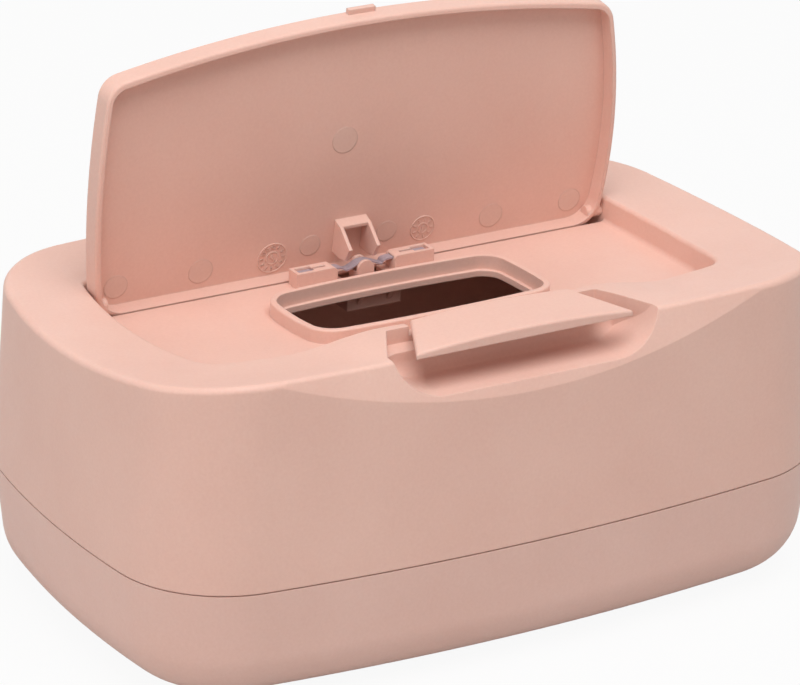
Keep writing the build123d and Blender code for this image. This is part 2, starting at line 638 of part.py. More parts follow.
def make_leaf_spring():
    """A bent strip: flat in both holders, dipped beside the post and humped over its hub."""
    floor_z, dip_z, hub_z = leaf_heights()
    dip_x = (HOLDER_INNER_X + POST_RADIUS) / 2
    flat_x = HOLDER_INNER_X - LEAF_END_GAP
    end_x = HOLDER_OUTER_X - HOLDER_WALL - LEAF_END_GAP
    edges = []
    for rise in (0, LEAF_THICKNESS):
        wave = [(-flat_x, floor_z), (-dip_x, dip_z), (0, hub_z), (dip_x, dip_z), (flat_x, floor_z)]
        edges.append(Spline(*[(x, z + rise) for x, z in wave], tangents=[(1, 0), (1, 0)]))
        for side in (-1, 1):
            edges.append(Line((side * flat_x, floor_z + rise), (side * end_x, floor_z + rise)))
    for side in (-1, 1):
        edges.append(Line((side * end_x, floor_z), (side * end_x, floor_z + LEAF_THICKNESS)))
    strip = Plane.XZ * make_face(edges)
    middle_y = (POST_FRONT_Y + POST_REAR_Y) / 2
    return Pos(0, middle_y, 0) * extrude(strip, amount=LEAF_WIDTH / 2, both=True)


def make_button_spring():
    """A small compression spring between the chamber floor and the button."""
    front_y = SPRING_Y - SPRING_RADIUS - SPRING_WIRE_RADIUS
    fall = (BUTTON_REAR_Y - front_y) * math.tan(math.radians(BUTTON_TILT))
    end_gap = SPRING_GAP + SPRING_WIRE_RADIUS
    low = CHAMBER_FLOOR_Z + end_gap
    high = BUTTON_CREST_Z - BUTTON_THICKNESS - fall - end_gap
    path = Helix((high - low) / SPRING_TURNS, high - low, SPRING_RADIUS, center=(0, SPRING_Y, low))
    profile = Plane(path @ 0, z_dir=path % 0) * Circle(SPRING_WIRE_RADIUS)
    return sweep(profile, path=path)


def main():
    os.makedirs("parts", exist_ok=True)
    nodes = {
        "base_tray": make_base_tray(),
        "top_cover": make_top_cover(),
        "lid": make_lid(),
        "push_button": make_push_button(),
        "button_pin_left": make_pin(-1),
        "button_pin_right": make_pin(1),
        "leaf_spring": make_leaf_spring(),
        "button_spring": make_button_spring(),
    }
    names = ["foot_front_left", "foot_front_right", "foot_rear_left", "foot_rear_right"]
    for name, (x, y) in zip(names, foot_places()):
        nodes[name] = make_foot(x, y)
    for name, shape in nodes.items():
        export_step(shape, os.path.join("parts", name + ".step"))
        print(name, round(shape.volume), len(shape.solids()))


main()
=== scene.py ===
"""Looks of a baby wipes box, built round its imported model.

Metres throughout: +X to the right, -Y to the user, +Z up.
"""

import json
import logging
import math
from dataclasses import dataclass, field
from enum import Enum

import bmesh
import bpy
from mathutils import Matrix, Vector

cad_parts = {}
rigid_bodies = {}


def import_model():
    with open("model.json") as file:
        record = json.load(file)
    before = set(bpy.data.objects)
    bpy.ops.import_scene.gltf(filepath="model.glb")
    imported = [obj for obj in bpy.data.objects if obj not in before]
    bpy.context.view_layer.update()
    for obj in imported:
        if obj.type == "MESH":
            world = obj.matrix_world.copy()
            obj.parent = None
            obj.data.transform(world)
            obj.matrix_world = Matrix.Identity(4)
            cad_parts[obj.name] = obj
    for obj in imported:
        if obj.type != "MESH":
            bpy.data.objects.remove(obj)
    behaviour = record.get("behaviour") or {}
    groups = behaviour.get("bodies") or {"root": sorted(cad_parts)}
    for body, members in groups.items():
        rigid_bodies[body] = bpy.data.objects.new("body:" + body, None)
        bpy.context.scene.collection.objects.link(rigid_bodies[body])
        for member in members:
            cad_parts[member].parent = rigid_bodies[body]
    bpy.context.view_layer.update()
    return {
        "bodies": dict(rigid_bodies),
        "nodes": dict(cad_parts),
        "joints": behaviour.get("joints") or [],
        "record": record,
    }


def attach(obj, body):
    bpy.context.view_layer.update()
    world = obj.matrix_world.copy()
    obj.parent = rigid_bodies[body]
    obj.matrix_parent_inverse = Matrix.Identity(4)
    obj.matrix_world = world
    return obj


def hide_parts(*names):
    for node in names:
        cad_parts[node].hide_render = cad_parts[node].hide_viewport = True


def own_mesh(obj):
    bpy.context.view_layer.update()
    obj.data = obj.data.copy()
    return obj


log = logging.getLogger("wipes_box")

NOISE_LOW = 0.3
NOISE_HIGH = 0.7
MONTHS = 12
MONTH_DEG = 30


class Body(Enum):
    """The rigid bodies that pieces ride on."""

    BASE = "base"
    COVER = "cover"
    LID = "lid"
    BUTTON = "button"


class Slot(Enum):
    """The record's material slots."""

    COVER = "cover_plastic"
    TRAY = "tray_plastic"
    PIN = "pin_steel"
    SPRING = "spring_steel"
    FOOT = "foot_rubber"


class Wiring:
    """A small helper that adds and joins the nodes of one tree."""

    def __init__(self, tree: bpy.types.NodeTree) -> None:
        """Keeps the tree that the nodes go into.

        Args:
            tree: The tree.
        """
        self.tree = tree

    def add(self, kind: str, **values: object) -> bpy.types.Node:
        """Adds a node and sets its properties.

        Args:
            kind: The node's type name.
            **values: Properties of the node, by name.

        Returns:
            The new node.
        """
        node = self.tree.nodes.new(kind)
        for name, value in values.items():
            setattr(node, name, value)
        return node

    def join(self, source: bpy.types.NodeSocket, target: bpy.types.NodeSocket) -> None:
        """Links an output to an input.

        Args:
            source: The output.
            target: The input.
        """
        self.tree.links.new(source, target)

    def noise(
        self, place: bpy.types.NodeSocket, scale: float, detail: float = 2.0
    ) -> bpy.types.Node:
        """Adds a noise texture that reads the given place.

        Args:
            place: The output that holds the coordinates.
            scale: Features per metre.
            detail: Octaves of the noise.

        Returns:
            The noise node.
        """
        node = self.add("ShaderNodeTexNoise")
        node.inputs["Scale"].default_value = scale
        node.inputs["Detail"].default_value = detail
        self.join(place, node.inputs["Vector"])
        return node

    def span(self, source: bpy.types.NodeSocket, low: float, high: float) -> bpy.types.NodeSocket:
        """Stretches the range that most of a noise lies in to the given range.

        Args:
            source: The output to stretch.
            low: Result at NOISE_LOW.
            high: Result at NOISE_HIGH.

        Returns:
            The stretched output.
        """
        node = self.add("ShaderNodeMapRange")
        node.inputs["From Min"].default_value = NOISE_LOW
        node.inputs["From Max"].default_value = NOISE_HIGH
        node.inputs["To Min"].default_value = low
        node.inputs["To Max"].default_value = high
        self.join(source, node.inputs["Value"])
        return node.outputs["Result"]

    def blend(
        self, share: bpy.types.NodeSocket, first: tuple[float, ...], second: tuple[float, ...]
    ) -> bpy.types.NodeSocket:
        """Mixes two colours.

        Args:
            share: The output that holds the share of the second colour.
            first: The colour at 0.
            second: The colour at 1.

        Returns:
            The mixed colour's output.
        """
        node = self.add("ShaderNodeMix", data_type="RGBA")
        inputs = [s for s in node.inputs if s.name in ("A", "B") and s.type == "RGBA"]
        inputs[0].default_value = (*first, 1.0)
        inputs[1].default_value = (*second, 1.0)
        self.join(share, node.inputs[0])
        return [s for s in node.outputs if s.type == "RGBA"][0]

    def times(self, source: bpy.types.NodeSocket, factor: float) -> bpy.types.NodeSocket:
        """Multiplies an output by a number.

        Args:
            source: The output.
            factor: The number.

        Returns:
            The product's output.
        """
        node = self.add("ShaderNodeMath", operation="MULTIPLY")
        node.inputs[1].default_value = factor
        self.join(source, node.inputs[0])
        return node.outputs[0]

    def larger(
        self, first: bpy.types.NodeSocket, second: bpy.types.NodeSocket
    ) -> bpy.types.NodeSocket:
        """Takes the larger of two outputs.

        Args:
            first: One output.
            second: The other output.

        Returns:
            The larger value's output.
        """
        node = self.add("ShaderNodeMath", operation="MAXIMUM")
        self.join(first, node.inputs[0])
        self.join(second, node.inputs[1])
        return node.outputs[0]

    def bump(
        self, height: bpy.types.NodeSocket, strength: float, distance: float
    ) -> bpy.types.Node:
        """Adds a bump that reads the given height.

        Args:
            height: The output that holds the height.
            strength: Strength of the bump, 0 to 1.
            distance: Height of the bump in metres.

        Returns:
            The bump node.
        """
        node = self.add("ShaderNodeBump")
        node.inputs["Strength"].default_value = strength
        node.inputs["Distance"].default_value = distance
        self.join(height, node.inputs["Height"])
        return node


def tone(red: int, green: int, blue: int) -> tuple[float, float, float]:
    """Turns a display colour of 0 to 255 into the linear values that shaders take.

    Args:
        red: Red, 0 to 255.
        green: Green, 0 to 255.
        blue: Blue, 0 to 255.

    Returns:
        The linear colour.
    """

    def linear(value: int) -> float:
        """Linear value of one channel."""
        share = value / 255
        return share / 12.92 if share <= 0.04045 else ((share + 0.055) / 1.055) ** 2.4

    return linear(red), linear(green), linear(blue)


def blank_material(
    name: str,
) -> tuple[bpy.types.Material, Wiring, bpy.types.Node, bpy.types.NodeSocket]:
    """Makes a material with the standard shader.

    Args:
        name: The material's name.

    Returns:
        The material, its wiring, its shader and the output with the object's own coordinates.
    """
    material = bpy.data.materials.new(name)
    material.use_nodes = True
    wiring = Wiring(material.node_tree)
    place = wiring.add("ShaderNodeTexCoord").outputs["Object"]
    return material, wiring, material.node_tree.nodes["Principled BSDF"], place


def linked(name: str, data: bpy.types.ID) -> bpy.types.Object:
    """Makes an object and links it to the scene.

    Args:
        name: The object's name.
        data: Its mesh, text, lamp or camera.

    Returns:
        The object.
    """
    made = bpy.data.objects.new(name, data)
    bpy.context.scene.collection.objects.link(made)
    return made


@dataclass(frozen=True)
class MouldedPlastic:
    """Matt through-coloured plastic with a fine spark-eroded grain.

    Attributes:
        name: Name of the material.
        deep: The darker of its two mottled colours.
        light: The lighter one.
        grain_scale: Grains per metre.
        grain_height: Height of the grain in metres.
        grain_strength: Strength of the grain's bump, 0 to 1.
        roughness: Least and most roughness.
        edge_radius: Radius of the softened edges in metres.
        edge_samples: Samples that soften an edge.
        cloud_scale: Broad mottling, in features per metre.
        speckle_scale: Fine mottling, in features per metre.
        speckle_share: Share of the fine mottling in the colour.
        wear_scale: Changes of roughness, in features per metre.
        glow_share: Share of light that scatters inside.
        glow_spread: How far red, green and blue scatter, next to each other.
        glow_depth: Depth of the scattering in metres.
        dusting: Weight of the dusty sheen.
        dusting_roughness: Roughness of the dusty sheen.
        ior: Index of refraction.
    """

    name: str
    deep: tuple[float, float, float]
    light: tuple[float, float, float]
    grain_scale: float = 2400.0
    grain_height: float = 0.00003
    grain_strength: float = 0.5
    roughness: tuple[float, float] = (0.5, 0.62)
    edge_radius: float = 0.0005
    edge_samples: int = 6
    cloud_scale: float = 26.0
    speckle_scale: float = 1080.0
    speckle_share: float = 0.45
    wear_scale: float = 140.0
    glow_share: float = 0.12
    glow_spread: tuple[float, float, float] = (1.0, 0.45, 0.3)
    glow_depth: float = 0.0016
    dusting: float = 0.18
    dusting_roughness: float = 0.45
    ior: float = 1.48

    def material(self) -> bpy.types.Material:
        """Builds the material.

        Returns:
            The material, with grain, mottling, softened edges, sheen and light scattered inside.
        """
        material, wiring, shader, place = blank_material(self.name)
        cloud = wiring.noise(place, self.cloud_scale, detail=3.0)
        speckle = wiring.noise(place, self.speckle_scale, detail=3.0)
        mixed = wiring.add("ShaderNodeMath", operation="MULTIPLY_ADD")
        wiring.join(speckle.outputs["Fac"], mixed.inputs[0])
        mixed.inputs[1].default_value = self.speckle_share
        cloud_part = wiring.times(cloud.outputs["Fac"], 1.0 - self.speckle_share)
        wiring.join(cloud_part, mixed.inputs[2])
        spread = wiring.span(mixed.outputs[0], 0.0, 1.0)
        wiring.join(wiring.blend(spread, self.deep, self.light), shader.inputs["Base Color"])
        wear = wiring.noise(place, self.wear_scale, detail=4.0)
        wiring.join(wiring.span(wear.outputs["Fac"], *self.roughness), shader.inputs["Roughness"])
        soft_edge = wiring.add("ShaderNodeBevel", samples=self.edge_samples)
        soft_edge.inputs["Radius"].default_value = self.edge_radius
        grain = wiring.noise(place, self.grain_scale)
        bump = wiring.bump(grain.outputs["Fac"], self.grain_strength, self.grain_height)
        wiring.join(soft_edge.outputs["Normal"], bump.inputs["Normal"])
        wiring.join(bump.outputs["Normal"], shader.inputs["Normal"])
        shader.inputs["Subsurface Weight"].default_value = self.glow_share
        shader.inputs["Subsurface Radius"].default_value = self.glow_spread
        shader.inputs["Subsurface Scale"].default_value = self.glow_depth
        shader.inputs["IOR"].default_value = self.ior
        shader.inputs["Sheen Weight"].default_value = self.dusting
        shader.inputs["Sheen Roughness"].default_value = self.dusting_roughness
        return material


@dataclass(frozen=True)
class DrawnSteel:
    """Dull steel with fine marks along the way that it was drawn or rolled.

    Attributes:
        name: Name of the material.
        dark: The darker of its two streaky colours.
        bright: The brighter one.
        stretch: How much closer the streaks lie along X, Y and Z.
        roughness: Least and most roughness.
        metallic: Share of metal in the shader.
        streak_scale: Streaks per metre, before the stretch.
        streak_strength: Strength of the streaks' bump, 0 to 1.
        streak_height: Height of the streaks in metres.
    """

    name: str
    dark: tuple[float, float, float]
    bright: tuple[float, float, float]
    stretch: tuple[float, float, float]
    roughness: tuple[float, float] = (0.3, 0.48)
    metallic: float = 0.85
    streak_scale: float = 900.0
    streak_strength: float = 0.2
    streak_height: float = 0.00001

    def material(self) -> bpy.types.Material:
        """Builds the material.

        Returns:
            The material, with streaks in its colour, roughness and relief.
        """
        material, wiring, shader, place = blank_material(self.name)
        mapping = wiring.add("ShaderNodeMapping")
        mapping.inputs["Scale"].default_value = self.stretch
        wiring.join(place, mapping.inputs["Vector"])
        streaks = wiring.noise(mapping.outputs["Vector"], self.streak_scale, detail=5.0)
        spread = wiring.span(streaks.outputs["Fac"], 0.0, 1.0)
        wiring.join(wiring.blend(spread, self.dark, self.bright), shader.inputs["Base Color"])
        dullness = wiring.span(streaks.outputs["Fac"], *self.roughness)
        wiring.join(dullness, shader.inputs["Roughness"])
        bump = wiring.bump(streaks.outputs["Fac"], self.streak_strength, self.streak_height)
        wiring.join(bump.outputs["Normal"], shader.inputs["Normal"])
        shader.inputs["Metallic"].default_value = self.metallic
        return material


@dataclass(frozen=True)
class SoftRubber:
    """Pale grippy rubber with a dusty, dimpled skin.

    Attributes:
        name: Name of the material.
        deep: The darker of its two dusty colours.
        light: The lighter one.
        dust_scale: Patches of dust per metre.
        roughness: Least and most roughness.
        dimple_scale: Dimples per metre.
        dimple_strength: Strength of the dimples' bump, 0 to 1.
        dimple_height: Height of the dimples in metres.
    """

    name: str
    deep: tuple[float, float, float]
    light: tuple[float, float, float]
    dust_scale: float = 420.0
    roughness: tuple[float, float] = (0.74, 0.9)
    dimple_scale: float = 1500.0
    dimple_strength: float = 0.4
    dimple_height: float = 0.00006

    def material(self) -> bpy.types.Material:
        """Builds the material.

        Returns:
            The material, with dimples and a dusty, uneven colour.
        """
        material, wiring, shader, place = blank_material(self.name)
        dust = wiring.noise(place, self.dust_scale, detail=4.0)
        spread = wiring.span(dust.outputs["Fac"], 0.0, 1.0)
        wiring.join(wiring.blend(spread, self.deep, self.light), shader.inputs["Base Color"])
        wiring.join(wiring.span(dust.outputs["Fac"], *self.roughness), shader.inputs["Roughness"])
        dimples = wiring.add("ShaderNodeTexVoronoi")
        dimples.inputs["Scale"].default_value = self.dimple_scale
        wiring.join(place, dimples.inputs["Vector"])
        bump = wiring.bump(dimples.outputs["Distance"], self.dimple_strength, self.dimple_height)
        wiring.join(bump.outputs["Normal"], shader.inputs["Normal"])
        return material


@dataclass
class Finishes:
    """The finishes of the box, each made once."""

    cover: MouldedPlastic = field(
        default_factory=lambda: MouldedPlastic(
            "cover_plastic", tone(222, 178, 163), tone(229, 188, 173)
        )
    )
    tray: MouldedPlastic = field(
        default_factory=lambda: MouldedPlastic(
            "tray_plastic", tone(224, 182, 168), tone(231, 192, 179)
        )
    )
    pin: DrawnSteel = field(
        default_factory=lambda: DrawnSteel(
            "pin_steel", tone(150, 150, 154), tone(196, 196, 198), stretch=(1.0, 6.0, 6.0)
        )
    )
    spring: DrawnSteel = field(
        default_factory=lambda: DrawnSteel(
            "spring_steel",
            tone(160, 146, 156),
            tone(196, 182, 190),
            stretch=(1.0, 7.0, 7.0),
            roughness=(0.42, 0.6),
            metallic=0.35,
        )
    )
    foot: SoftRubber = field(
        default_factory=lambda: SoftRubber("foot_rubber", tone(178, 168, 164), tone(204, 196, 192))
    )
    made: dict[str, bpy.types.Material] = field(default_factory=dict)

    def of(self, slot: Slot) -> bpy.types.Material:
        """Gives the material of a slot, and makes it the first time.

        Args:
            slot: The record's slot.

        Returns:
            The material.
        """
        if slot.value not in self.made:
            finish = {
                Slot.COVER: self.cover,
                Slot.TRAY: self.tray,
                Slot.PIN: self.pin,
                Slot.SPRING: self.spring,
                Slot.FOOT: self.foot,
            }[slot]
            self.made[slot.value] = finish.material()
        return self.made[slot.value]


def dress(piece: bpy.types.Object, material: bpy.types.Material) -> None:
    """Gives every face of a piece the one material.

    Args:
        piece: The piece.
        material: The material.
    """
    piece.data.materials.clear()
    piece.data.materials.append(material)
    for face in piece.data.polygons:
        face.material_index = 0


@dataclass
class Moulding:
    """One moulded shell, its facets joined and shaded smooth round its fillets.

    Attributes:
        node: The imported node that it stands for.
        piece: Its own name.
        body: The body that it rides on.
        slot: Its material slot.
        crease_deg: Edges sharper than this stay sharp.
        weld: Points nearer than this are joined, in metres.
    """

    node: str
    piece: str
    body: Body
    slot: Slot
    crease_deg: float = 27.0
    weld: float = 0.000002

    def build(self, frame: dict, finishes: Finishes) -> bpy.types.Object:
        """Copies the node's mesh, welds it and shades it.

        Args:
            frame: The loaded frame.
            finishes: The box's finishes.

        Returns:
            The finished piece, riding on its body.
        """
        mesh = bpy.data.meshes.new(self.piece)
        shell = bmesh.new()
        shell.from_mesh(frame["nodes"][self.node].data)
        bmesh.ops.remove_doubles(shell, verts=shell.verts, dist=self.weld)
        shell.to_mesh(mesh)
        shell.free()
        if mesh.has_custom_normals:
            mesh.attributes.remove(mesh.attributes["custom_normal"])
        mesh.shade_smooth()
        mesh.set_sharp_from_angle(angle=math.radians(self.crease_deg))
        piece = linked(self.piece, mesh)
        weighted = piece.modifiers.new("even_normals", "WEIGHTED_NORMAL")
        weighted.keep_sharp = True
        dress(piece, finishes.of(self.slot))
        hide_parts(self.node)
        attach(piece, self.body.value)
        log.info("%s stands for %s", self.piece, self.node)
        return piece


@dataclass
class SmallParts:
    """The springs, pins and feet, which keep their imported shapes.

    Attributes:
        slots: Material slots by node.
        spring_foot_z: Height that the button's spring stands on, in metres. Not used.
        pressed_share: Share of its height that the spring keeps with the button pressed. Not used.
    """

    slots: dict[str, Slot] = field(
        default_factory=lambda: {
            "leaf_spring": Slot.SPRING,
            "button_spring": Slot.PIN,
            "button_pin_left": Slot.PIN,
            "button_pin_right": Slot.PIN,
            "foot_front_left": Slot.FOOT,
            "foot_front_right": Slot.FOOT,
            "foot_rear_left": Slot.FOOT,
            "foot_rear_right": Slot.FOOT,
        }
    )
    spring_foot_z: float = 0.088
    pressed_share: float = 0.95

    def dress(self, frame: dict, finishes: Finishes) -> None:
        """Gives each part its material, and gives the button's spring a mesh of its own.

        Args:
            frame: The loaded frame.
            finishes: The box's finishes.
        """
        for name, slot in self.slots.items():
            dress(frame["nodes"][name], finishes.of(slot))
            log.info("%s dressed in %s", name, slot.value)
        spring = frame["nodes"]["button_spring"]
        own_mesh(spring)


@dataclass
class LidInside:
    """The lid's inner face, where the mould left its marks, in the place of the open lid.

    Attributes:
        hinge_y: The hinge's place along Y.
        hinge_z: The hinge's height.
        open_angle: Turn from shut to open, in radians.
        low_z: Height of the shut lid's inner face at its lowest line.
        dish_y: Place of that line along Y.
        dish_radius: Radius of the dished face.
    """

    hinge_y: float = 0.035
    hinge_z: float = 0.0899
    open_angle: float = math.radians(82.1)
    low_z: float = 0.0923
    dish_y: float = 0.017
    dish_radius: float = 0.408

    def height(self, y: float) -> float:
        """Finds the height of the shut lid's inner face.

        Args:
            y: Place along the shut lid.

        Returns:
            The height above the table.
        """
        drop = math.sqrt(self.dish_radius**2 - (y - self.dish_y) ** 2)
        return self.low_z + self.dish_radius - drop

    def place(self, x: float, y: float) -> Matrix:
        """Finds where a mark on the shut lid lies once the lid is open.

        Args:
            x: Place across the lid.
            y: Place along the shut lid.

        Returns:
            A matrix with its origin on the face, Z out of it and Y towards the lid's free edge.
        """
        slope = (y - self.dish_y) / self.dish_radius
        shut = Matrix.Translation((x, y, self.height(y))) @ Matrix.Rotation(math.pi + slope, 4, "X")
        hinge = Matrix.Translation((0, self.hinge_y, self.hinge_z))
        return hinge @ Matrix.Rotation(-self.open_angle, 4, "X") @ hinge.inverted() @ shut


def plain_mesh(piece: bpy.types.Object) -> bpy.types.Object:
    """Turns a piece with modifiers, or a text, into a plain mesh.

    Args:
        piece: The piece to turn.

    Returns:
        A new object with the finished mesh and the same name.
    """
    bpy.context.view_layer.update()
    graph = bpy.context.evaluated_depsgraph_get()
    mesh = bpy.data.meshes.new_from_object(piece.evaluated_get(graph), depsgraph=graph)
    name = piece.name
    bpy.data.objects.remove(piece)
    mesh.name = name
    return linked(name, mesh)


def set_input(modifier: bpy.types.NodesModifier, name: str, value: object) -> None:
    """Sets a named input of a Geometry Nodes modifier by its socket's identifier.

    Args:
        modifier: The modifier.
        name: The input's name.
        value: What it is set to.
    """
    for item in modifier.node_group.interface.items_tree:
        if item.item_type == "SOCKET" and item.in_out == "INPUT" and item.name == name:
            modifier[item.identifier] = value


def named_inputs(tree: bpy.types.NodeTree, sizes: dict[str, str]) -> None:
    """Gives a Geometry Nodes tree its geometry sockets and its named inputs.

    Args:
        tree: The tree.
        sizes: Socket types by input name.
    """
    tree.interface.new_socket("Geometry", in_out="OUTPUT", socket_type="NodeSocketGeometry")
    tree.interface.new_socket("Geometry", in_out="INPUT", socket_type="NodeSocketGeometry")
    for name, kind in sizes.items():
        tree.interface.new_socket(name, in_out="INPUT", socket_type=kind)


@dataclass
class EjectorMarks:
    """Faint round marks that the mould's ejector pins left on the lid's inner face.

    Attributes:
        inside: The face that they lie on.
        spots: Place across the lid, place along it and radius of each mark.
        relief: How far a mark stands out of the face, in metres.
        disc_sides: Sides of each round.
    """

    inside: LidInside
    spots: tuple[tuple[float, float, float], ...] = (
        (-0.0800, 0.0314, 0.0040),
        (0.0800, 0.0312, 0.0040),
        (-0.0512, 0.0316, 0.0042),
        (0.0512, 0.0314, 0.0042),
        (-0.0135, 0.0298, 0.0036),
        (0.0135, 0.0298, 0.0036),
        (-0.0040, -0.0049, 0.0044),
    )
    relief: float = 0.00007
    disc_sides: int = 40

    def tree(self) -> bpy.types.NodeTree:
        """Builds the tree that sets a thin disc on every point.

        Returns:
            The tree, with the inputs Relief and Finish.
        """
        tree = bpy.data.node_groups.new("ejector_mark_tree", "GeometryNodeTree")
        named_inputs(tree, {"Relief": "NodeSocketFloat", "Finish": "NodeSocketMaterial"})
        wiring = Wiring(tree)
        given = wiring.add("NodeGroupInput")
        result = wiring.add("NodeGroupOutput")
        disc = wiring.add("GeometryNodeMeshCylinder")
        disc.inputs["Vertices"].default_value = self.disc_sides
        disc.inputs["Radius"].default_value = 1.0
        wiring.join(wiring.times(given.outputs["Relief"], 2.0), disc.inputs["Depth"])
        facing = wiring.add("GeometryNodeInputNamedAttribute", data_type="FLOAT_VECTOR")
        facing.inputs["Name"].default_value = "facing"
        turn = wiring.add("FunctionNodeAlignRotationToVector", axis="Z")
        wiring.join(facing.outputs["Attribute"], turn.inputs["Vector"])
        reach = wiring.add("GeometryNodeInputNamedAttribute", data_type="FLOAT")
        reach.inputs["Name"].default_value = "reach"
        scale = wiring.add("ShaderNodeCombineXYZ")
        wiring.join(reach.outputs["Attribute"], scale.inputs["X"])
        wiring.join(reach.outputs["Attribute"], scale.inputs["Y"])
        scale.inputs["Z"].default_value = 1.0
        spread = wiring.add("GeometryNodeInstanceOnPoints")
        wiring.join(given.outputs["Geometry"], spread.inputs["Points"])
        wiring.join(disc.outputs["Mesh"], spread.inputs["Instance"])
        wiring.join(turn.outputs["Rotation"], spread.inputs["Rotation"])
        wiring.join(scale.outputs["Vector"], spread.inputs["Scale"])
        solid = wiring.add("GeometryNodeRealizeInstances")
        wiring.join(spread.outputs["Instances"], solid.inputs["Geometry"])
        finish = wiring.add("GeometryNodeSetMaterial")
        wiring.join(solid.outputs["Geometry"], finish.inputs["Geometry"])
        wiring.join(given.outputs["Finish"], finish.inputs["Material"])
        wiring.join(finish.outputs["Geometry"], result.inputs["Geometry"])
        return tree

    def build(self, finishes: Finishes) -> bpy.types.Object:
        """Places the marks and makes them one mesh.

        Args:
            finishes: The box's finishes.

        Returns:
            The finished piece, riding on the lid.
        """
        mesh = bpy.data.meshes.new("ejector_marks")
        places = [self.inside.place(x, y) for x, y, _ in self.spots]
        mesh.from_pydata([place.translation for place in places], [], [])
        mesh.attributes.new("facing", "FLOAT_VECTOR", "POINT")
        mesh.attributes.new("reach", "FLOAT", "POINT")
        facing = mesh.attributes["facing"]
        reach = mesh.attributes["reach"]
        for index, (place, spot) in enumerate(zip(places, self.spots)):
            facing.data[index].vector = place.col[2].to_3d()
            reach.data[index].value = spot[2]
        piece = linked("ejector_marks", mesh)
        modifier = piece.modifiers.new("marks", "NODES")
        modifier.node_group = self.tree()
        set_input(modifier, "Relief", self.relief)
        set_input(modifier, "Finish", finishes.of(Slot.COVER))
        piece = plain_mesh(piece)
        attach(piece, Body.LID.value)
        log.info("%d ejector marks", len(self.spots))
        return piece


